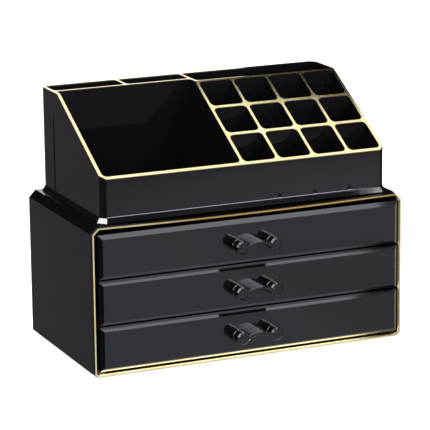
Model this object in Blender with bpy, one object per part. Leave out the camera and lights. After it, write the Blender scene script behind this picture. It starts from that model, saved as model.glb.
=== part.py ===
"""Makeup organiser: a cabinet with three drawers under a lift-off tray of open compartments.

Metres, +Z up, front towards -Y, origin at the centre of the cabinet's underside.
The cabinet, the tray and each drawer are thin injection mouldings in gloss black plastic.
Gold foil covers the cabinet's front rim and every top edge of the tray.
"""

import math

import bmesh
import bpy

# Cabinet shell
CABINET_WIDTH = 0.2400
CABINET_DEPTH = 0.1250
CABINET_HEIGHT = 0.1083
CABINET_WALL = 0.0030
TOP_CHAMFER = 0.0051
BOTTOM_CHAMFER = 0.0030
TOP_SAG = 0.0012
FRONT_TAPER = 0.0010
FRONT_TAPER_DEPTH = 0.0052
RIM_LAND = 0.0010

# Gold foil, on the cabinet and on the tray
FOIL_THICKNESS = 0.0004
FOIL_GAP = 0.0002

# Drawers, one above the other
DRAWER_LEVELS = ("top", "middle", "bottom")
DRAWER_SIDE_CLEARANCE = 0.0015
DRAWER_TOP_CLEARANCE = 0.0029
DRAWER_BOTTOM_CLEARANCE = 0.0019
DRAWER_GAP = 0.0010
DRAWER_PROUD = 0.0027
DRAWER_BEVEL = 0.0028
DRAWER_FRONT_THICKNESS = 0.0042
DRAWER_WALL = 0.0020
DRAWER_BOX_INSET = 0.0010
DRAWER_BOX_DROP = 0.0010
DRAWER_BOX_LIFT = 0.0024
DRAWER_BOX_CORNER = 0.0030
DRAWER_REAR_CLEARANCE = 0.0015

# Rails that carry the drawers
RAIL_WIDTH = 0.0060
RAIL_THICKNESS = 0.0020
RAIL_CLEARANCE = 0.0003
RAIL_SETBACK = 0.0010

# Handles: two knobs, each with a low collar, joined by a bar that arches between them
KNOB_DIAMETER = 0.0095
KNOB_LENGTH = 0.0127
KNOB_EDGE = 0.00105
KNOB_COLLAR = 0.0003
KNOB_COLLAR_LENGTH = 0.0052
KNOB_PITCH = 0.0261
HANDLE_DROP = 0.0012
HANDLE_GAP = 0.0002
BAR_DEPTH = 0.0123
BAR_CREST = 0.0034
BAR_THICKNESS = 0.0025
BAR_TOP_BOW = 0.0038
BAR_UNDER_BOW = 0.0065
BAR_EDGE = 0.0004

# Screws that hold each handle from inside its drawer
SCREW_SHANK_DIAMETER = 0.0026
SCREW_HEAD_DIAMETER = 0.0054
SCREW_HEAD_HEIGHT = 0.0018
SCREW_BITE = 0.0070
SCREW_CLEARANCE = 0.0003
SCREW_TIP = 0.0010
SCREW_SLOT_WIDTH = 0.0008
SCREW_SLOT_DEPTH = 0.0007

# Tray shell
TRAY_WIDTH = 0.2186
TRAY_DEPTH = 0.1158
TRAY_HEIGHT = 0.0762
TRAY_FRONT_HEIGHT = 0.03085
TRAY_SLOPE_DEPTH = 0.0823
TRAY_SETBACK = 0.0024
TRAY_SEAT_GAP = 0.0003
TRAY_FLARE = 0.0023
TRAY_FLARE_HEIGHT = 0.0037
TRAY_FLARE_FILLET = 0.0025
TRAY_CORNER = 0.0039
TRAY_WALL = 0.0022
TRAY_FRONT_WALL = 0.0020
TRAY_FLOOR = 0.0020

# Compartments in the tray
DIVIDER_THICKNESS = 0.0018
POCKET_DRAFT = 0.0003
CELL_COLUMNS = 4
CELL_ROWS = 3
CELL_PITCH_ACROSS = 0.02755
CELL_PITCH_DEEP = 0.0266
POCKET_CORNER = 0.0036
SLOT_DEPTH = 0.0200
LEFT_SLOT_WIDTH = 0.0540

# Pegs under the tray, in blind recesses in the cabinet's top
PEG_DIAMETER = 0.0060
PEG_LENGTH = 0.0012
PEG_CLEARANCE = 0.0005
PEG_INSET_ACROSS = 0.0160
PEG_INSET_DEEP = 0.0150

# How far a cutter runs past what it cuts
OVERRUN = 0.0020

KNOB_SIDES = 32
SMALL_SIDES = 16
BAR_STEPS = 16
SAG_STEPS = 16
FILLET_STEPS = 8
CORNER_STEPS = 5
SMOOTH_ANGLE = math.radians(30)
# What a corner cut at 45 degrees loses of its leg when its outline moves in
CORNER_LOSS_SHARE = 2 - math.sqrt(2)

# Levels and places that several pieces share
CABINET_FRONT = -CABINET_DEPTH / 2
CABINET_BACK = CABINET_DEPTH / 2
CAVITY_HALF_WIDTH = CABINET_WIDTH / 2 - CABINET_WALL
CAVITY_TOP = CABINET_HEIGHT - CABINET_WALL
CAVITY_BACK = CABINET_BACK - CABINET_WALL
FOIL_SEAT = FOIL_THICKNESS + FOIL_GAP

DRAWER_COUNT = len(DRAWER_LEVELS)
DRAWER_STACK = CAVITY_TOP - CABINET_WALL - DRAWER_TOP_CLEARANCE - DRAWER_BOTTOM_CLEARANCE
DRAWER_FRONT_HEIGHT = (DRAWER_STACK - (DRAWER_COUNT - 1) * DRAWER_GAP) / DRAWER_COUNT
DRAWER_PITCH = DRAWER_FRONT_HEIGHT + DRAWER_GAP
DRAWER_HALF_WIDTH = CAVITY_HALF_WIDTH - DRAWER_SIDE_CLEARANCE
DRAWER_FACE = CABINET_FRONT - DRAWER_PROUD
DRAWER_FLANGE_BACK = DRAWER_FACE + DRAWER_FRONT_THICKNESS
BOX_HALF_WIDTH = DRAWER_HALF_WIDTH - DRAWER_BOX_INSET
BOX_BACK = CAVITY_BACK - DRAWER_REAR_CLEARANCE

TRAY_BASE = CABINET_HEIGHT + TRAY_SEAT_GAP
TRAY_BACK = CABINET_BACK - TRAY_SETBACK
TRAY_FRONT = TRAY_BACK - TRAY_DEPTH
CELLS_RIGHT = TRAY_WIDTH / 2 - TRAY_WALL / 2
CELLS_LEFT = CELLS_RIGHT - CELL_COLUMNS * CELL_PITCH_ACROSS
CELLS_BACK = TRAY_FRONT + TRAY_SLOPE_DEPTH
CELLS_FRONT = CELLS_BACK - CELL_ROWS * CELL_PITCH_DEEP
SLOPE_RISE = (TRAY_HEIGHT - TRAY_FRONT_HEIGHT) / TRAY_SLOPE_DEPTH
BIN_BACK = TRAY_BACK - TRAY_WALL - SLOT_DEPTH - DIVIDER_THICKNESS


def clear_scene():
    for obj in list(bpy.data.objects):
        bpy.data.objects.remove(obj)


def make_material(name, colour, roughness, metallic):
    material = bpy.data.materials.new(name)
    material.use_nodes = True
    shader = material.node_tree.nodes["Principled BSDF"]
    shader.inputs["Base Color"].default_value = (*colour, 1)
    shader.inputs["Roughness"].default_value = roughness
    shader.inputs["Metallic"].default_value = metallic
    return material


def skin(name, loops, ring=False):
    """A mesh over loops of points, in order: capped at both ends, or joined round in a ring."""
    form = bmesh.new()
    rows = [[form.verts.new(point) for point in loop] for loop in loops]
    pairs = list(zip(rows, rows[1:]))
    if ring:
        pairs.append((rows[-1], rows[0]))
    else:
        form.faces.new(rows[0])
        form.faces.new(rows[-1])
    for near, far in pairs:
        for i in range(len(near)):
            j = (i + 1) % len(near)
            form.faces.new((near[i], near[j], far[j], far[i]))
    bmesh.ops.recalc_face_normals(form, faces=form.faces)
    mesh = bpy.data.meshes.new(name)
    form.to_mesh(mesh)
    form.free()
    return mesh


def block(name, low, high):
    """A box between two corners."""
    corners = [(low[0], low[1]), (high[0], low[1]), (high[0], high[1]), (low[0], high[1])]
    return skin(name, [[(x, y, z) for x, y in corners] for z in (low[2], high[2])])


def turned(name, profile, sides):
    """A round piece along Y from (radius, y) pairs."""
    loops = []
    for radius, along in profile:
        angles = [2 * math.pi * i / sides for i in range(sides)]
        loops.append([(radius * math.cos(a), along, radius * math.sin(a)) for a in angles])
    return skin(name, loops)


def peg(name, radius, bottom, top, spot):
    """An upright round peg at (x, y)."""
    angles = [2 * math.pi * i / SMALL_SIDES for i in range(SMALL_SIDES)]
    ring = [(spot[0] + radius * math.cos(a), spot[1] + radius * math.sin(a)) for a in angles]
    return skin(name, [[(x, y, z) for x, y in ring] for z in (bottom, top)])


def cut_rectangle(left, right, low, high, low_leg, high_leg):
    """A rectangle with its corners cut at 45 degrees, anticlockwise from the lower right."""
    return [
        (right, low + low_leg),
        (right, high - high_leg),
        (right - high_leg, high),
        (left + high_leg, high),
        (left, high - high_leg),
        (left, low + low_leg),
        (left + low_leg, low),
        (right - low_leg, low),
    ]


def rounded_rectangle(left, right, low, high, radius):
    """A rectangle with round corners, anticlockwise from the lower right."""
    centres = [
        (right - radius, low + radius),
        (right - radius, high - radius),
        (left + radius, high - radius),
        (left + radius, low + radius),
    ]
    points = []
    for quarter, (x, y) in enumerate(centres):
        for step in range(CORNER_STEPS + 1):
            angle = (quarter - 1 + step / CORNER_STEPS) * math.pi / 2
            points.append((x + radius * math.cos(angle), y + radius * math.sin(angle)))
    return points


def place(name, mesh, material=None, parent=None, location=(0, 0, 0)):
    """An object in the scene. One without a material is a cutter or a tool."""
    obj = bpy.data.objects.new(name, mesh)
    bpy.context.scene.collection.objects.link(obj)
    obj.location = location
    if material:
        mesh.materials.clear()
        mesh.materials.append(material)
    else:
        obj.hide_render = True
        obj.display_type = "WIRE"
    if parent:
        obj.parent = parent
    return obj


def combine(obj, operation, tool):
    modifier = obj.modifiers.new(f"{operation.lower()} {tool.name}", "BOOLEAN")
    modifier.operation = operation
    modifier.solver = "EXACT"
    modifier.object = tool


def shade_round(mesh):
    mesh.shade_smooth()
    mesh.set_sharp_from_angle(angle=SMOOTH_ANGLE)


def bake(obj, tools):
    """The object's finished mesh. The object and its tools are removed."""
    graph = bpy.context.evaluated_depsgraph_get()
    mesh = bpy.data.meshes.new_from_object(obj.evaluated_get(graph))
    for used in [obj, *tools]:
        bpy.data.objects.remove(used)
    return mesh


def cabinet_section(inset, along):
    """The cabinet's outline, moved in by an inset, at one place along Y.

    The thin top hangs a little between its ends, most at the open front and not at all at the back.
    """
    loss = inset * CORNER_LOSS_SHARE
    top = CABINET_HEIGHT - inset
    outline = cut_rectangle(
        -CABINET_WIDTH / 2 + inset,
        CABINET_WIDTH / 2 - inset,
        inset,
        top,
        BOTTOM_CHAMFER - loss,
        TOP_CHAMFER - loss,
    )
    half = CABINET_WIDTH / 2 - inset - (TOP_CHAMFER - loss)
    sag = TOP_SAG * (CABINET_BACK - along) / CABINET_DEPTH
    shares = [1 - 2 * step / SAG_STEPS for step in range(1, SAG_STEPS)]
    hanging = [(share * half, top - sag * (1 - share**2)) for share in shares]
    top_right = outline.index(max(outline, key=lambda point: point[1]))
    outline[top_right + 1 : top_right + 1] = hanging
    return [(x, along, z) for x, z in outline]


def taper_inset(depth):
    """How far the outer faces are drawn in at a depth behind the front rim."""
    return FRONT_TAPER * (1 - depth / FRONT_TAPER_DEPTH)


def drawer_bottom(index):
    """The underside of a drawer's front, counted from the top drawer."""
    return CABINET_WALL + DRAWER_BOTTOM_CLEARANCE + (DRAWER_COUNT - 1 - index) * DRAWER_PITCH


def rails():
    """A pair of rails under each drawer's box. The lowest pair stands on the floor."""
    made = []
    for index in range(DRAWER_COUNT):
        top = drawer_bottom(index) + DRAWER_BOX_LIFT - RAIL_CLEARANCE
        lowest = index == DRAWER_COUNT - 1
        bottom = CABINET_WALL - OVERRUN if lowest else top - RAIL_THICKNESS
        for side in (-1, 1):
            inner = side * (CAVITY_HALF_WIDTH - RAIL_WIDTH)
            outer = side * (CAVITY_HALF_WIDTH + OVERRUN)
            low = (min(inner, outer), DRAWER_FLANGE_BACK + RAIL_SETBACK, bottom)
            high = (max(inner, outer), CAVITY_BACK + OVERRUN, top)
            name = f"rail_{index + 1}_{'left' if side < 0 else 'right'}"
            made.append(place(name, block(name, low, high)))
    return made


def peg_places():
    across = TRAY_WIDTH / 2 - PEG_INSET_ACROSS
    near = TRAY_FRONT + PEG_INSET_DEEP
    far = TRAY_BACK - PEG_INSET_DEEP
    return [(x, y) for y in (near, far) for x in (-across, across)]


def make_cabinet(plastic):
    rim = CABINET_FRONT + FOIL_SEAT
    outer = skin(
        "cabinet_shell",
        [
            cabinet_section(0, CABINET_BACK),
            cabinet_section(0, CABINET_FRONT + FRONT_TAPER_DEPTH),
            cabinet_section(taper_inset(FOIL_SEAT), rim),
        ],
    )
    shell = place("cabinet_shell", outer, plastic)
    inner_chamfer = CABINET_WALL - FRONT_TAPER - RIM_LAND
    cavity = place(
        "cabinet_cavity",
        skin(
            "cabinet_cavity",
            [
                cabinet_section(CABINET_WALL, CAVITY_BACK),
                cabinet_section(CABINET_WALL, rim + inner_chamfer),
                cabinet_section(CABINET_WALL - inner_chamfer - OVERRUN, rim - OVERRUN),
            ],
        ),
    )
    for rail in rails():
        combine(cavity, "DIFFERENCE", rail)
    combine(shell, "DIFFERENCE", cavity)
    depth = TRAY_SEAT_GAP + PEG_CLEARANCE
    for number, spot in enumerate(peg_places(), 1):
        name = f"peg_recess_{number}"
        bottom = TRAY_BASE - PEG_LENGTH - depth
        recess = peg(name, PEG_DIAMETER / 2 + PEG_CLEARANCE, bottom, TRAY_BASE + OVERRUN, spot)
        combine(shell, "DIFFERENCE", place(name, recess))
    return shell


def make_cabinet_foil(foil):
    """A ring over the front rim: its flat land and the chamfer inside it."""
    land = FRONT_TAPER + RIM_LAND
    chamfer_back = CABINET_FRONT + CABINET_WALL - land
    profile = [
        (FRONT_TAPER, CABINET_FRONT),
        (land, CABINET_FRONT),
        (CABINET_WALL, chamfer_back),
        (CABINET_WALL, chamfer_back + FOIL_THICKNESS),
        (land, CABINET_FRONT + FOIL_THICKNESS),
        (taper_inset(FOIL_THICKNESS), CABINET_FRONT + FOIL_THICKNESS),
    ]
    loops = [cabinet_section(inset, along) for inset, along in profile]
    return place("cabinet_gold_rim", skin("cabinet_gold_rim", loops, ring=True), foil)


def drawer_mesh():
    """One drawer, from its front's centre: a bevelled front moulded onto an open box."""
    half_height = DRAWER_FRONT_HEIGHT / 2

    def front_loop(inset, along):
        across = DRAWER_HALF_WIDTH - inset
        up = half_height - inset
        corners = [(-across, -up), (across, -up), (across, up), (-across, up)]
        return [(x, along, z) for x, z in corners]

    front = place(
        "drawer_front",
        skin(
            "drawer_front",
            [
                front_loop(DRAWER_BEVEL, 0),
                front_loop(0, DRAWER_BEVEL),
                front_loop(0, DRAWER_FRONT_THICKNESS),
            ],
        ),
    )
    bottom = -half_height + DRAWER_BOX_LIFT
    top = half_height - DRAWER_BOX_DROP
    length = BOX_BACK - DRAWER_FACE

    def box_loop(inset, level):
        outline = cut_rectangle(
            -BOX_HALF_WIDTH + inset,
            BOX_HALF_WIDTH - inset,
            DRAWER_BEVEL if inset == 0 else DRAWER_FRONT_THICKNESS,
            length - inset,
            DRAWER_BOX_CORNER - inset,
            DRAWER_BOX_CORNER - inset,
        )
        return [(x, y, level) for x, y in outline]

    box = place("drawer_box", skin("drawer_box", [box_loop(0, bottom), box_loop(0, top)]))
    floor = bottom + DRAWER_WALL
    hollow = [box_loop(DRAWER_WALL, floor), box_loop(DRAWER_WALL, top + OVERRUN)]
    cavity = place("drawer_cavity", skin("drawer_cavity", hollow))
    combine(front, "UNION", box)
    combine(front, "DIFFERENCE", cavity)
    holes = []
    for side in (-1, 1):
        radius = SCREW_SHANK_DIAMETER / 2 + SCREW_CLEARANCE
        profile = [(radius, -OVERRUN), (radius, DRAWER_FRONT_THICKNESS + OVERRUN)]
        hole = place("screw_hole", turned("screw_hole", profile, SMALL_SIDES))
        hole.location = (side * KNOB_PITCH / 2, 0, -HANDLE_DROP)
        combine(front, "DIFFERENCE", hole)
        holes.append(hole)
    return bake(front, [box, cavity, *holes])


def bar_section(along):
    """The bar's outline at a place along X: highest and thinnest midway between the knobs."""
    fall = (2 * along / KNOB_PITCH) ** 2
    top = BAR_CREST - BAR_TOP_BOW * fall
    bottom = BAR_CREST - BAR_THICKNESS - BAR_UNDER_BOW * fall
    outline = [
        (-HANDLE_GAP, bottom),
        (-HANDLE_GAP, top),
        (-BAR_DEPTH + BAR_EDGE, top),
        (-BAR_DEPTH, top - BAR_EDGE),
        (-BAR_DEPTH, bottom + BAR_EDGE),
        (-BAR_DEPTH + BAR_EDGE, bottom),
    ]
    return [(along, y, z) for y, z in outline]


def handle_mesh():
    """Two knobs and the bar between them, from the centre of the drawer's front face."""
    radius = KNOB_DIAMETER / 2
    knob = turned(
        "knob",
        [
            (radius + KNOB_COLLAR, -HANDLE_GAP),
            (radius + KNOB_COLLAR, -KNOB_COLLAR_LENGTH),
            (radius, -KNOB_COLLAR_LENGTH - KNOB_COLLAR),
            (radius, -KNOB_LENGTH + KNOB_EDGE),
            (radius - KNOB_EDGE, -KNOB_LENGTH),
        ],
        KNOB_SIDES,
    )
    left, right = (
        place(f"knob_{word}", knob, location=(side * KNOB_PITCH / 2, 0, 0))
        for word, side in (("left", -1), ("right", 1))
    )
    reach = KNOB_PITCH / 2 - radius / 2
    shares = [2 * step / BAR_STEPS - 1 for step in range(BAR_STEPS + 1)]
    bar = place("bar", skin("bar", [bar_section(share * reach) for share in shares]))
    combine(bar, "UNION", left)
    combine(bar, "UNION", right)
    pilots = []
    for side in (-1, 1):
        pilot_radius = SCREW_SHANK_DIAMETER / 2 + SCREW_CLEARANCE
        profile = [(pilot_radius, OVERRUN), (pilot_radius, -SCREW_BITE - SCREW_CLEARANCE)]
        pilot = place("pilot", turned("pilot", profile, SMALL_SIDES))
        pilot.location = (side * KNOB_PITCH / 2, 0, 0)
        combine(bar, "DIFFERENCE", pilot)
        pilots.append(pilot)
    mesh = bake(bar, [left, right, *pilots])
    shade_round(mesh)
    return mesh


def screw_mesh():
    """A pan-head screw, from the centre of the drawer's front face, head inside the drawer."""
    seat = DRAWER_FRONT_THICKNESS + SCREW_CLEARANCE
    shank = SCREW_SHANK_DIAMETER / 2
    head = SCREW_HEAD_DIAMETER / 2
    crown = SCREW_HEAD_HEIGHT / 2
    body = place(
        "screw_body",
        turned(
            "screw_body",
            [
                (shank - SCREW_TIP / 2, -SCREW_BITE),
                (shank, -SCREW_BITE + SCREW_TIP),
                (shank, seat),
                (head, seat),
                (head, seat + crown),
                (head - crown / 2, seat + SCREW_HEAD_HEIGHT),
            ],
            SMALL_SIDES,
        ),
    )
    top = seat + SCREW_HEAD_HEIGHT
    slots = []
    reach = head + OVERRUN
    for along, across in ((reach, SCREW_SLOT_WIDTH / 2), (SCREW_SLOT_WIDTH / 2, reach)):
        low = (-along, top - SCREW_SLOT_DEPTH, -across)
        slot = place("slot", block("slot", low, (along, top + OVERRUN, across)))
        combine(body, "DIFFERENCE", slot)
        slots.append(slot)
    mesh = bake(body, slots)
    shade_round(mesh)
    return mesh


def make_drawers(plastic, steel):
    drawer_form = drawer_mesh()
    handle_form = handle_mesh()
    screw_form = screw_mesh()
    for index, level in enumerate(DRAWER_LEVELS):
        centre = drawer_bottom(index) + DRAWER_FRONT_HEIGHT / 2
        drawer = place(f"{level}_drawer", drawer_form, plastic, None, (0, DRAWER_FACE, centre))
        seat = (0, 0, -HANDLE_DROP)
        place(f"{level}_handle", handle_form, plastic, drawer, seat)
        for word, side in (("left", -1), ("right", 1)):
            seat = (side * KNOB_PITCH / 2, 0, -HANDLE_DROP)
            place(f"{level}_handle_screw_{word}", screw_form, steel, drawer, seat)


def tray_section(height, outset=0):
    """The tray's outline at a height above its base, spread by an outset on every side."""
    corner = TRAY_CORNER + outset * CORNER_LOSS_SHARE
    outline = cut_rectangle(
        -TRAY_WIDTH / 2 - outset,
        TRAY_WIDTH / 2 + outset,
        TRAY_FRONT - outset,
        TRAY_BACK + outset,
        corner,
        corner,
    )
    return [(x, y, TRAY_BASE + height) for x, y in outline]


def tray_outline_mesh(name):
    """The tray as a solid block, not yet cut to its sloping top.

    Its foot flares out in a straight slope, and a fillet leads from that into the upright wall.
    """
    lean = math.atan(TRAY_FLARE / TRAY_FLARE_HEIGHT)
    fillet_top = TRAY_FLARE_HEIGHT + TRAY_FLARE_FILLET * math.tan(lean / 2)
    loops = [tray_section(0, TRAY_FLARE)]
    for step in range(FILLET_STEPS, -1, -1):
        turn = lean * step / FILLET_STEPS
        height = fillet_top - TRAY_FLARE_FILLET * math.sin(turn)
        loops.append(tray_section(height, TRAY_FLARE_FILLET * (1 - math.cos(turn))))
    loops.append(tray_section(TRAY_HEIGHT + OVERRUN))
    return skin(name, loops)


def tray_top(drop):
    """The tray's top in YZ, from the foot of its slope to its back, lowered square to itself."""
    slope_drop = drop * math.hypot(1, SLOPE_RISE)
    start = TRAY_FRONT - TRAY_FLARE - OVERRUN
    start_height = TRAY_FRONT_HEIGHT + (start - TRAY_FRONT) * SLOPE_RISE - slope_drop
    flat = TRAY_HEIGHT - drop
    knee = start + (flat - start_height) / SLOPE_RISE
    return [
        (start, TRAY_BASE + start_height),
        (knee, TRAY_BASE + flat),
        (TRAY_BACK + TRAY_FLARE + OVERRUN, TRAY_BASE + flat),
    ]


def tray_layer(name, upper, lower):
    """What lies between two lines in YZ, right across the tray."""
    outline = upper + lower[::-1]
    reach = TRAY_WIDTH / 2 + TRAY_FLARE + OVERRUN
    return place(name, skin(name, [[(x, y, z) for y, z in outline] for x in (-reach, reach)]))


def pocket(name, left, right, front, back):
    """A compartment's cutter, slightly narrower at its floor so that the moulding releases."""

    def loop(height):
        lean = POCKET_DRAFT * (1 - height / TRAY_HEIGHT)
        outline = rounded_rectangle(
            left + lean, right - lean, front + lean, back - lean, POCKET_CORNER
        )
        return [(x, y, TRAY_BASE + height) for x, y in outline]

    return place(name, skin(name, [loop(TRAY_FLOOR), loop(TRAY_HEIGHT + OVERRUN)]))


def pockets():
    """Cutters for the lipstick cells, the big bin and the slots behind them."""
    half = DIVIDER_THICKNESS / 2
    inner_left = -TRAY_WIDTH / 2 + TRAY_WALL
    inner_right = TRAY_WIDTH / 2 - TRAY_WALL
    inner_front = TRAY_FRONT + TRAY_FRONT_WALL
    inner_back = TRAY_BACK - TRAY_WALL
    made = []
    for row in range(CELL_ROWS):
        for column in range(CELL_COLUMNS):
            left = CELLS_LEFT + column * CELL_PITCH_ACROSS + half
            right = left + CELL_PITCH_ACROSS - DIVIDER_THICKNESS
            front = CELLS_FRONT + row * CELL_PITCH_DEEP + half
            back = front + CELL_PITCH_DEEP - DIVIDER_THICKNESS
            if column == CELL_COLUMNS - 1:
                right = inner_right
            if row == 0:
                front = inner_front
            made.append(pocket(f"cell_{row + 1}_{column + 1}", left, right, front, back))
    bin_right = CELLS_LEFT - half
    slot_front = BIN_BACK + DIVIDER_THICKNESS
    slot_split = inner_left + LEFT_SLOT_WIDTH
    others = [
        ("bin", inner_left, bin_right, inner_front, BIN_BACK),
        ("left_slot", inner_left, slot_split, slot_front, inner_back),
        ("middle_slot", slot_split + DIVIDER_THICKNESS, bin_right, slot_front, inner_back),
        ("right_slot", CELLS_LEFT + half, inner_right, CELLS_BACK + half, inner_back),
    ]
    for name, left, right, front, back in others:
        made.append(pocket(name, left, right, front, back))
    return made


def make_tray(plastic, foil):
    cutters = pockets()
    tray = place("tray", tray_outline_mesh("tray"), plastic)
    below = [(y, TRAY_BASE - OVERRUN) for y, _ in tray_top(0)]
    combine(tray, "INTERSECT", tray_layer("tray_body_layer", tray_top(FOIL_SEAT), below))
    rim = place("tray_gold_rim", tray_outline_mesh("tray_gold_rim"), foil)
    layer = tray_layer("tray_foil_layer", tray_top(0), tray_top(FOIL_THICKNESS))
    combine(rim, "INTERSECT", layer)
    for cutter in cutters:
        combine(tray, "DIFFERENCE", cutter)
        combine(rim, "DIFFERENCE", cutter)
    for number, spot in enumerate(peg_places(), 1):
        name = f"peg_{number}"
        bottom = TRAY_BASE - PEG_LENGTH
        form = peg(name, PEG_DIAMETER / 2, bottom, TRAY_BASE + TRAY_FLOOR / 2, spot)
        combine(tray, "UNION", place(name, form))


def main():
    clear_scene()
    plastic = make_material("gloss_black_plastic", (0.012, 0.012, 0.014), 0.08, 0)
    foil = make_material("gold_foil", (0.78, 0.60, 0.26), 0.22, 1)
    steel = make_material("zinc_steel", (0.62, 0.62, 0.60), 0.35, 1)
    make_cabinet(plastic)
    make_cabinet_foil(foil)
    make_drawers(plastic, steel)
    make_tray(plastic, foil)


main()
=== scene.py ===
"""Looks for a gloss black makeup organiser with gold edges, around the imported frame."""

import math

import bpy
import numpy as np
from mathutils import Matrix, Vector

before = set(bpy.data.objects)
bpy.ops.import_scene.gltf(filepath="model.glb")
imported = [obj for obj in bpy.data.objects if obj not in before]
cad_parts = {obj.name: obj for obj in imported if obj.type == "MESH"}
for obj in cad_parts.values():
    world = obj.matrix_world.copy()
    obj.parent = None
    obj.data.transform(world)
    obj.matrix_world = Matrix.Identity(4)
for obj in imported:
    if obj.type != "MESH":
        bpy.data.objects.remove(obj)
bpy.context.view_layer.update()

MM = 0.001

# Where the photograph was taken from, in metres, with a lens and sensor in millimetres
CAMERA_AZIMUTH = math.radians(-23.78)
CAMERA_ELEVATION = math.radians(13.97)
CAMERA_ROLL = math.radians(-0.62)
CAMERA_DISTANCE = 1.78565
CAMERA_TARGET = Vector((-0.00105, -0.0025, 0.09102))
CAMERA_LENS = 206.69
SENSOR_WIDTH = 36.0
CAMERA_REACH = 50.0

# Studio: the floor's side, and how light the sky is where it is open, dim and dark
FLOOR_SIZE = 14.0
SKY_OPEN = 0.48
SKY_DIM = 0.20
SKY_DARK = 0.015
WHITE = (1.0, 1.0, 1.0)
COOL_WHITE = (0.92, 0.96, 1.06)
BLUE_WHITE = (0.92, 0.97, 1.12)
ROSE_WHITE = (1.0, 0.93, 0.93)
SKY_TINT = (1.0, 0.98, 0.94)

DRAWER_LEVELS = ("top", "middle", "bottom")

# Where the tray's pockets start behind its front wall, and where its dividers meet its outer walls
POCKETS_START = -50 * MM
BIN_DIVIDER = 35.4 * MM
CELL_DIVIDER = 25.6 * MM
CELL_PITCH = 27.55 * MM

# How far a wall leans where it sank while cooling, as what is added to the height of its normal
POCKET_LEAN = 0.025
SIDE_LEAN = 0.45
NOTCH_LEAN = 0.09

# How high the case's top edge is, where its foil gets a painted shade
FOIL_TOP = 108 * MM

# How deep the relief of each finish is
GLOSS_RELIEF = 0.004 * MM
FOIL_RELIEF = 0.008 * MM
ZINC_RELIEF = 0.02 * MM

PLASTIC_IOR = 1.5
DUST_GREY = (0.10, 0.10, 0.10)
WORN_GOLD = (0.05, 0.035, 0.015)

# Faces that meet at less than the first angle belong to one round surface, and at less than the
# second to one flat face
ROUND_LIMIT = math.radians(21)
FLAT_LIMIT = math.radians(0.5)


class Shades:
    """A node tree under construction: adds nodes, sets their inputs and links them."""

    def __init__(self, tree):
        self.tree = tree
        self.nodes = tree.nodes
        self.links = tree.links

    def add(self, kind, **values):
        node = self.nodes.new(kind)
        for name, value in values.items():
            setattr(node, name, value)
        return node

    def group(self, tree):
        return self.add("ShaderNodeGroup", node_tree=tree)

    def place(self):
        """Where a point is on its object, in metres."""
        return self.add("ShaderNodeTexCoord").outputs["Object"]

    def split(self, vector):
        """The X, Y and Z of a vector."""
        node = self.add("ShaderNodeSeparateXYZ")
        self.feed(node, "Vector", vector)
        return node.outputs[0], node.outputs[1], node.outputs[2]

    def feed(self, node, name, value):
        socket = node.inputs[name]
        if isinstance(value, bpy.types.NodeSocket):
            self.links.new(value, socket)
        else:
            socket.default_value = value

    def math(self, operation, first, second=0.0, third=0.0):
        node = self.add("ShaderNodeMath", operation=operation)
        for index, value in enumerate((first, second, third)):
            self.feed(node, index, value)
        return node.outputs[0]

    def noise(self, place, scale, detail=2.0, roughness=0.5):
        node = self.add("ShaderNodeTexNoise")
        for name, value in (
            ("Vector", place),
            ("Scale", scale),
            ("Detail", detail),
            ("Roughness", roughness),
        ):
            self.feed(node, name, value)
        return node.outputs["Fac"]

    def between(self, value, low, high, start=0.0, end=1.0):
        """A smooth step: start below low, end above high."""
        node = self.add("ShaderNodeMapRange", interpolation_type="SMOOTHSTEP")
        for name, number in (
            ("Value", value),
            ("From Min", low),
            ("From Max", high),
            ("To Min", start),
            ("To Max", end),
        ):
            self.feed(node, name, number)
        return node.outputs["Result"]

    def times(self, first, *others):
        """The product of several numbers."""
        for other in others:
            first = self.math("MULTIPLY", first, other)
        return first

    def blend(self, share, first, second):
        """A colour between two colours."""
        node = self.add("ShaderNodeMix", data_type="RGBA")
        self.feed(node, "Factor", share)
        for name, colour in (("A", first), ("B", second)):
            self.feed(node, name, (*colour, 1.0) if isinstance(colour, tuple) else colour)
        return node.outputs["Result"]

    def bump(self, height, distance):
        """A bump node of full strength."""
        node = self.add("ShaderNodeBump")
        node.inputs["Strength"].default_value = 1.0
        node.inputs["Distance"].default_value = distance
        self.feed(node, "Height", height)
        return node


def start_group(name, inputs, outputs):
    """An empty shader group with its sockets, and its input and output nodes."""
    tree = bpy.data.node_groups.new(name, "ShaderNodeTree")
    for label, default in inputs:
        socket = tree.interface.new_socket(label, in_out="INPUT", socket_type="NodeSocketFloat")
        socket.default_value = default
    for label, kind in outputs:
        tree.interface.new_socket(label, in_out="OUTPUT", socket_type=kind)
    shades = Shades(tree)
    return shades, shades.add("NodeGroupInput"), shades.add("NodeGroupOutput")


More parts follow.
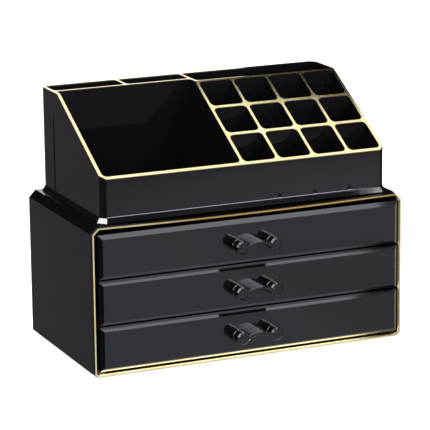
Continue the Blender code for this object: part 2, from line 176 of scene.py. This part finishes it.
def moulded_gloss_group():
    """What polished moulded plastic shows close to: waviness, hairlines, dust and finger marks."""
    shades, given, out = start_group(
        "moulded_gloss",
        (("Gloss", 0.06), ("Waviness", 1.0), ("Wear", 1.0)),
        (
            ("Roughness", "NodeSocketFloat"),
            ("Height", "NodeSocketFloat"),
            ("Dust", "NodeSocketFloat"),
        ),
    )
    place = shades.place()
    worn = given.outputs["Wear"]

    # Short and long waves left by the mould
    ripple = shades.noise(place, 95.0, 1.0, 0.4)
    swell = shades.noise(place, 22.0, 1.0, 0.4)

    # Hairline scratches: a noise drawn out along one direction
    stretched = shades.add("ShaderNodeMapping")
    shades.feed(stretched, "Vector", place)
    stretched.inputs["Rotation"].default_value = (0.5, 0.35, 0.6)
    stretched.inputs["Scale"].default_value = (1.0, 14.0, 14.0)
    hairline = shades.noise(stretched.outputs[0], 320.0, 3.0, 0.6)
    hairlines = shades.between(hairline, 0.69, 0.76)

    # Finger marks
    smudge = shades.between(shades.noise(place, 38.0, 4.0, 0.62), 0.48, 0.70)

    # Dust: small specks that lie in patches
    speck = shades.add("ShaderNodeTexVoronoi", feature="F1")
    shades.feed(speck, "Vector", place)
    shades.feed(speck, "Scale", 420.0)
    specks = shades.between(speck.outputs["Distance"], 0.05, 0.09, 1.0, 0.0)
    patches = shades.between(shades.noise(place, 60.0, 2.0), 0.52, 0.60)
    dust = shades.times(specks, patches, worn)

    marks = shades.math("MULTIPLY_ADD", hairlines, 0.10, shades.times(smudge, 0.035))
    rough = shades.math("ADD", given.outputs["Gloss"], shades.times(marks, worn))
    rough = shades.math("MULTIPLY_ADD", dust, 0.35, rough)
    height = shades.math("MULTIPLY_ADD", swell, 2.2, shades.times(ripple, 0.25))
    height = shades.times(height, given.outputs["Waviness"])
    height = shades.math("MULTIPLY_ADD", hairlines, -0.03, height)
    shades.feed(out, "Roughness", rough)
    shades.feed(out, "Height", height)
    shades.feed(out, "Dust", dust)
    return shades.tree


def start_material(name):
    """A material with its Principled shader."""
    material = bpy.data.materials.new(name)
    material.use_nodes = True
    shades = Shades(material.node_tree)
    return material, shades, shades.nodes["Principled BSDF"]


def gloss_black(name, depth, waviness=1.0, wear=1.0, sink_marks=None):
    """Polished black plastic. Depth is how much light its own black gives back."""
    material, shades, shader = start_material(name)
    effect = shades.group(GLOSS)
    for label, value in (("Gloss", 0.05), ("Waviness", waviness), ("Wear", wear)):
        shades.feed(effect, label, value)
    black = (depth, depth, depth * 1.08)
    shades.feed(shader, "Base Color", shades.blend(effect.outputs["Dust"], black, DUST_GREY))
    shades.feed(shader, "Roughness", effect.outputs["Roughness"])
    shader.inputs["IOR"].default_value = PLASTIC_IOR
    bump = shades.bump(effect.outputs["Height"], GLOSS_RELIEF)
    if sink_marks:
        shades.feed(bump, "Normal", shades.group(sink_marks).outputs[0])
    shades.feed(shader, "Normal", bump.outputs[0])
    return material


def sink_mark_group():
    """How the tray's walls lean where they sank: in its pockets and over its dividers."""
    shades, _, out = start_group("sink_marks", (), (("Normal", "NodeSocketVector"),))
    surface = shades.add("ShaderNodeNewGeometry").outputs["Normal"]
    facing_x, facing_y, _ = shades.split(surface)
    x, y, z = shades.split(shades.place())

    # Every pocket's back wall
    pocket = shades.times(
        shades.between(facing_y, -0.95, -0.75, POCKET_LEAN, 0.0),
        shades.between(y, POCKETS_START - MM, POCKETS_START),
    )

    # A line down the left wall, over the divider behind the bin
    off = shades.math("ABSOLUTE", shades.math("SUBTRACT", y, BIN_DIVIDER))
    side = shades.times(
        shades.between(off, 0.9 * MM, 1.9 * MM, SIDE_LEAN, 0.0),
        shades.between(facing_x, -0.98, -0.90, 1.0, 0.0),
        shades.between(z, 152 * MM, 181 * MM, 1.0, 0.0),
    )

    # Short notches low on the front wall, over the dividers between the cells
    pitch = shades.math("DIVIDE", shades.math("SUBTRACT", x, CELL_DIVIDER), CELL_PITCH)
    part = shades.math("SUBTRACT", shades.math("FRACT", shades.math("ADD", pitch, 0.5)), 0.5)
    off = shades.times(shades.math("ABSOLUTE", part), CELL_PITCH)
    notch = shades.times(
        shades.between(off, 0.7 * MM, 1.7 * MM, NOTCH_LEAN, 0.0),
        shades.between(y, POCKETS_START - 2 * MM, POCKETS_START, 1.0, 0.0),
        shades.between(facing_y, -0.99, -0.95, 1.0, 0.0),
        shades.between(x, 8 * MM, 12 * MM),
        shades.between(z, 114.7 * MM, 116.3 * MM, 1.0, 0.0),
    )

    lift = shades.add("ShaderNodeCombineXYZ")
    shades.feed(lift, "Z", shades.math("ADD", shades.math("ADD", pocket, side), notch))
    sunk = shades.add("ShaderNodeVectorMath", operation="ADD")
    shades.feed(sunk, 0, surface)
    shades.feed(sunk, 1, lift.outputs[0])
    unit = shades.add("ShaderNodeVectorMath", operation="NORMALIZE")
    shades.feed(unit, 0, sunk.outputs[0])
    shades.feed(out, "Normal", unit.outputs[0])
    return shades.tree


def gold_foil(name, deep, pale, shaded_tone=None):
    """Hot-stamped foil: satin gold between two tones, with fine grain and a few worn specks.

    A shaded tone, darker and more saturated, is painted shade over the case's top edge, all but
    its left end.
    """
    material, shades, shader = start_material(name)
    place = shades.place()
    grain = shades.noise(place, 900.0, 3.0, 0.6)
    cloud = shades.noise(place, 90.0, 3.0, 0.55)
    tone = shades.blend(shades.between(cloud, 0.35, 0.65), deep, pale)
    # Painted shade: the case's top edge darker and more saturated, all but its left end
    if shaded_tone:
        x, _, z = shades.split(place)
        shaded_top = shades.times(
            shades.between(z, FOIL_TOP - 6 * MM, FOIL_TOP - 3 * MM),
            shades.between(x, -90 * MM, -35 * MM),
        )
        tone = shades.blend(shaded_top, tone, shaded_tone)
    worn = shades.between(shades.noise(place, 700.0, 2.0, 0.5), 0.70, 0.74)
    shades.feed(shader, "Base Color", shades.blend(worn, tone, WORN_GOLD))
    shader.inputs["Metallic"].default_value = 1.0
    rough = shades.math("MULTIPLY_ADD", grain, 0.08, 0.03)
    shades.feed(shader, "Roughness", shades.math("MULTIPLY_ADD", worn, 0.3, rough))
    shades.feed(shader, "Normal", shades.bump(grain, FOIL_RELIEF).outputs[0])
    return material


def zinc_steel(name):
    """Bright zinc plate on the screws, mottled in tone, shine and relief."""
    material, shades, shader = start_material(name)
    mottle = shades.noise(shades.place(), 1400.0, 3.0, 0.6)
    colour = shades.blend(mottle, (0.50, 0.51, 0.53), (0.72, 0.72, 0.70))
    shades.feed(shader, "Base Color", colour)
    shader.inputs["Metallic"].default_value = 1.0
    shades.feed(shader, "Roughness", shades.math("MULTIPLY_ADD", mottle, 0.25, 0.22))
    shades.feed(shader, "Normal", shades.bump(mottle, ZINC_RELIEF).outputs[0])
    return material


GLOSS = moulded_gloss_group()
CASE_BLACK = gloss_black("case_black", 0.0030)
DRAWER_BLACK = gloss_black("drawer_black", 0.0030)
# The tray's black is a lighter copy of the case's: painted light, lifting the shade inside its
# pockets
LIGHTENED_TRAY_BLACK = gloss_black("tray_black_lightened", 0.0050, sink_marks=sink_mark_group())
HANDLE_BLACK = gloss_black("handle_black", 0.0015, waviness=0.5, wear=0.6)
CASE_FOIL = gold_foil(
    "case_gold_foil",
    deep=(0.88, 0.74, 0.32),
    pale=(0.95, 0.84, 0.42),
    shaded_tone=(0.66, 0.45, 0.12),
)
# The tray's foil is a paler copy of the case's: a painted highlight, the washed-out look of its
# brightly lit edges
LIGHTENED_TRAY_FOIL = gold_foil("tray_gold_foil_lightened", deep=(0.84, 0.72, 0.38), pale=(0.90, 0.80, 0.47))
ZINC = zinc_steel("zinc_steel")


def flat_faces(corners, normals, areas):
    """For each triangle, the number of the flat face that it is a part of, and each one's area."""
    owner = list(range(len(normals)))

    def top(face):
        while owner[face] != face:
            owner[face] = owner[owner[face]]
            face = owner[face]
        return face

    across = {}
    for face, points in enumerate(corners):
        for start, end in ((0, 1), (1, 2), (2, 0)):
            edge = frozenset((points[start], points[end]))
            for other in across.get(edge, ()):
                if normals[face] @ normals[other] > math.cos(FLAT_LIMIT):
                    owner[top(face)] = top(other)
            across.setdefault(edge, []).append(face)
    tops = [top(face) for face in range(len(owner))]
    total = np.bincount(tops, weights=areas, minlength=len(owner))
    return tops, total


def shade_round(mesh):
    """Smooth shading over rounded corners, knobs and fillets, while large flat walls stay flat."""
    count = len(mesh.polygons)
    places = np.empty(len(mesh.vertices) * 3)
    mesh.vertices.foreach_get("co", places)
    places = np.round(places.reshape(-1, 3) / MM, 3)
    used = np.empty(count * 3, dtype=int)
    mesh.loops.foreach_get("vertex_index", used)
    corners = [[tuple(places[index]) for index in three] for three in used.reshape(-1, 3)]
    normals = np.empty(count * 3)
    mesh.polygons.foreach_get("normal", normals)
    normals = normals.reshape(-1, 3)
    areas = np.empty(count)
    mesh.polygons.foreach_get("area", areas)
    tops, total = flat_faces(corners, normals, areas)
    around = {}
    for face, points in enumerate(corners):
        for point in points:
            around.setdefault(point, {})[tops[face]] = normals[face]
    soft = []
    for face, points in enumerate(corners):
        for point in points:
            normal = sum(
                total[flat] * other
                for flat, other in around[point].items()
                if normals[face] @ other > math.cos(ROUND_LIMIT)
            )
            soft.append(normal / np.linalg.norm(normal))
    mesh.shade_smooth()
    mesh.normals_split_custom_set([tuple(normal) for normal in soft])


def finish_node(name, material):
    """Gives a carried-over piece its material and smooth round faces."""
    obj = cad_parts[name]
    obj.data.materials.clear()
    obj.data.materials.append(material)
    shade_round(obj.data)


def dress_pieces():
    """Each piece's own finish."""
    finish_node("cabinet_shell", CASE_BLACK)
    finish_node("cabinet_gold_rim", CASE_FOIL)
    finish_node("tray", LIGHTENED_TRAY_BLACK)
    finish_node("tray_gold_rim", LIGHTENED_TRAY_FOIL)
    for level in DRAWER_LEVELS:
        finish_node(f"{level}_drawer", DRAWER_BLACK)
        finish_node(f"{level}_handle", HANDLE_BLACK)
        for side in ("left", "right"):
            finish_node(f"{level}_handle_screw_{side}", ZINC)


def mirrored_floor_group():
    """Painted reflections: the floor as black gloss mirrors it, pale in front, grey at the left,
    dark at the right.
    """
    shades, _, out = start_group("mirrored_floor", (), (("Color", "NodeSocketColor"),))
    x, y, _ = shades.split(shades.place())

    # In front: a pale card, a little darker at its far left, with a painted shadow near the
    # piece's right front, and dim far out
    slow = shades.times(
        shades.between(y, -0.60, -0.36, 0.66, 1.0),
        shades.between(y, -0.35, -0.15, 1.0, 0.95),
    )
    across = shades.math("SUBTRACT", shades.between(x, 0.09, 0.28, 0.88, 1.08), 1.0)
    fading = shades.between(y, -0.50, -0.42, 1.0, 0.0)
    slow = shades.times(slow, shades.math("MULTIPLY_ADD", across, fading, 1.0))
    far = shades.times(
        shades.between(y, -0.90, -0.85, 0.185, 0.41),
        shades.between(x, 0.44, 0.50, 1.0, 0.40),
    )
    edge = shades.between(y, -0.625, -0.585)
    edge = shades.math("ADD", far, shades.times(edge, shades.math("SUBTRACT", 1.0, far)))
    # Painted shadow: the mirrored floor darker near the piece's right front
    mirrored_shadow = shades.times(shades.between(x, 0.04, 0.15), shades.between(y, -0.55, -0.15))
    level = shades.times(slow, edge, shades.math("MULTIPLY_ADD", mirrored_shadow, -0.19, 1.0))
    card = shades.blend(shades.between(x, 0.0, 0.13), (0.75, 0.79, 0.92), (0.79, 0.76, 0.92))
    colour = shades.blend(level, (0.0, 0.0, 0.0), card)

    # To the right, beside and behind the piece: dark
    right = shades.times(shades.between(x, 0.42, 0.50), shades.between(y, -0.16, -0.10))
    colour = shades.blend(right, colour, (0.02, 0.02, 0.02))

    # To the left: grey, and dark before the piece's front
    beside = shades.between(y, -0.075, -0.045)
    grey = shades.blend(beside, (0.02, 0.02, 0.025), (0.147, 0.135, 0.149))
    grey = shades.blend(shades.between(y, 0.32, 0.52), grey, (0.135, 0.124, 0.138))
    colour = shades.blend(shades.between(x, -0.122, -0.118, 1.0, 0.0), colour, grey)
    shades.feed(out, "Color", colour)
    return shades.tree


def make_floor():
    """White with a faint shadow for the camera; black gloss mirrors painted reflections of the
    studio's cards instead.
    """
    material, shades, shader = start_material("floor_white")
    path = shades.add("ShaderNodeLightPath").outputs
    mirrored = path["Is Glossy Ray"]
    plain = shades.math("MAXIMUM", path["Is Camera Ray"], path["Is Transmission Ray"])
    # Painted reflections, which only glossy rays see
    cards = shades.group(mirrored_floor_group()).outputs[0]
    base = shades.blend(mirrored, (0.82, 0.82, 0.82), (0.0, 0.0, 0.0))
    shades.feed(shader, "Base Color", base)
    shader.inputs["Roughness"].default_value = 0.9
    shader.inputs["Specular IOR Level"].default_value = 0.0
    shades.feed(shader, "Emission Color", shades.blend(mirrored, WHITE, cards))
    shades.feed(shader, "Emission Strength", shades.math("MULTIPLY_ADD", plain, 0.9, mirrored))
    mesh = bpy.data.meshes.new("studio_floor")
    half = FLOOR_SIZE / 2
    corners = [(-half, -half, 0), (half, -half, 0), (half, half, 0), (-half, half, 0)]
    mesh.from_pydata(corners, [], [(0, 1, 2, 3)])
    mesh.materials.append(material)
    floor = bpy.data.objects.new("studio_floor", mesh)
    bpy.context.scene.collection.objects.link(floor)


def sky_group():
    """How light the studio is in each direction: open at the sides, dark behind and above."""
    shades, _, out = start_group("studio_sky", (), (("Level", "NodeSocketFloat"),))
    x, y, z = shades.split(shades.add("ShaderNodeTexCoord").outputs["Generated"])
    behind = shades.times(
        shades.between(y, 0.72, 0.84),
        shades.between(x, -0.12, 0.0, 1.0, 0.45),
    )
    above = shades.times(shades.between(y, 0.16, 0.26), shades.between(x, 0.12, 0.24))
    right_front = shades.times(
        shades.between(x, 0.24, 0.33),
        shades.between(y, -0.50, -0.40, 1.0, 0.0),
        shades.between(z, 0.48, 0.58),
    )
    shade = shades.math("MAXIMUM", shades.math("MAXIMUM", behind, above), right_front)
    level = shades.math("MULTIPLY_ADD", shade, SKY_DARK - SKY_OPEN, SKY_OPEN)

    # A dim streak within the dark at the right front
    streak = shades.times(
        shades.between(x, 0.36, 0.395, 0.1, 1.0),
        shades.between(x, 0.40, 0.43, 1.0, 0.0),
        right_front,
    )
    shades.feed(out, "Level", shades.math("MULTIPLY_ADD", streak, SKY_DIM, level))
    return shades.tree


def make_sky():
    """White to the camera, and a slightly warm studio to everything else."""
    world = bpy.data.worlds.new("studio")
    bpy.context.scene.world = world
    world.use_nodes = True
    shades = Shades(world.node_tree)
    background = shades.nodes["Background"]
    level = shades.group(sky_group()).outputs[0]
    path = shades.add("ShaderNodeLightPath").outputs
    plain = shades.math("MAXIMUM", path["Is Camera Ray"], path["Is Transmission Ray"])
    shades.feed(background, "Color", shades.blend(plain, SKY_TINT, WHITE))
    shades.feed(background, "Strength", shades.math("MAXIMUM", plain, level))


def soft_box(name, centre, aim, size, radiance, colour=WHITE, turn=0.0):
    """A rectangular lamp of a given radiance, facing a point, turned by some degrees."""
    width, depth = size
    data = bpy.data.lights.new(name, "AREA")
    data.shape = "RECTANGLE"
    data.size = width
    data.size_y = depth
    data.energy = radiance * math.pi * width * depth
    data.color = colour
    obj = bpy.data.objects.new(name, data)
    obj.location = centre
    facing = (Vector(aim) - Vector(centre)).to_track_quat("-Z", "Y")
    spin = Matrix.Rotation(math.radians(turn), 3, "Z")
    obj.rotation_euler = (facing.to_matrix() @ spin).to_euler()
    obj.visible_camera = False
    bpy.context.scene.collection.objects.link(obj)


def ceiling_box(name, x, y, height, size, radiance, colour=WHITE, turn=0.0):
    """A soft box that hangs level and faces the floor."""
    soft_box(name, (x, y, height), (x, y, 0), size, radiance, colour, turn)


def make_lamps():
    """Overhead boxes for the tops, and cards that the gloss and the foil mirror."""
    ceiling_box("overhead_front", 0.272, -0.28, 1.15, (0.76, 0.66), 2.9, COOL_WHITE)
    ceiling_box("overhead_back", 0.383, 0.202, 1.152, (0.90, 0.36), 1.35, turn=-12)
    soft_box("key_box", (-1.05, -0.33, 1.15), (-0.1, -0.05, 0.1), (0.30, 0.30), 22.0)
    soft_box("front_box", (0.43, -1.42, 0.53), (0, -0.06, 0.09), (0.66, 0.44), 11.0, BLUE_WHITE)
    soft_box(
        "left_strip",
        (-0.626, -0.569, 0.666),
        (0, -0.075, 0.055),
        (0.07, 1.32),
        7.0,
        COOL_WHITE,
        turn=-22,
    )
    ceiling_box("right_strip", 1.057, -1.093, 1.15, (0.52, 0.24), 13.0)
    soft_box("back_box", (0.27, 0.95, 0.45), (0, 0, 0.15), (0.35, 0.30), 1.5, ROSE_WHITE)


def make_camera():
    """The photograph's camera."""
    back = Vector(
        (
            math.sin(CAMERA_AZIMUTH) * math.cos(CAMERA_ELEVATION),
            -math.cos(CAMERA_AZIMUTH) * math.cos(CAMERA_ELEVATION),
            math.sin(CAMERA_ELEVATION),
        )
    )
    right = (-back).cross(Vector((0, 0, 1))).normalized()
    up = right.cross(-back)
    turn_cos, turn_sin = math.cos(CAMERA_ROLL), math.sin(CAMERA_ROLL)
    rolled_right = turn_cos * right + turn_sin * up
    rolled_up = turn_cos * up - turn_sin * right
    data = bpy.data.cameras.new("camera")
    data.lens = CAMERA_LENS
    data.sensor_width = SENSOR_WIDTH
    data.clip_end = CAMERA_REACH
    camera = bpy.data.objects.new("camera", data)
    turn = Matrix((rolled_right, rolled_up, back)).transposed().to_4x4()
    camera.matrix_world = Matrix.Translation(CAMERA_TARGET + back * CAMERA_DISTANCE) @ turn
    bpy.context.scene.collection.objects.link(camera)
    bpy.context.scene.camera = camera


make_camera()
dress_pieces()
make_floor()
make_sky()
make_lamps()
bpy.context.scene.view_settings.view_transform = "Standard"
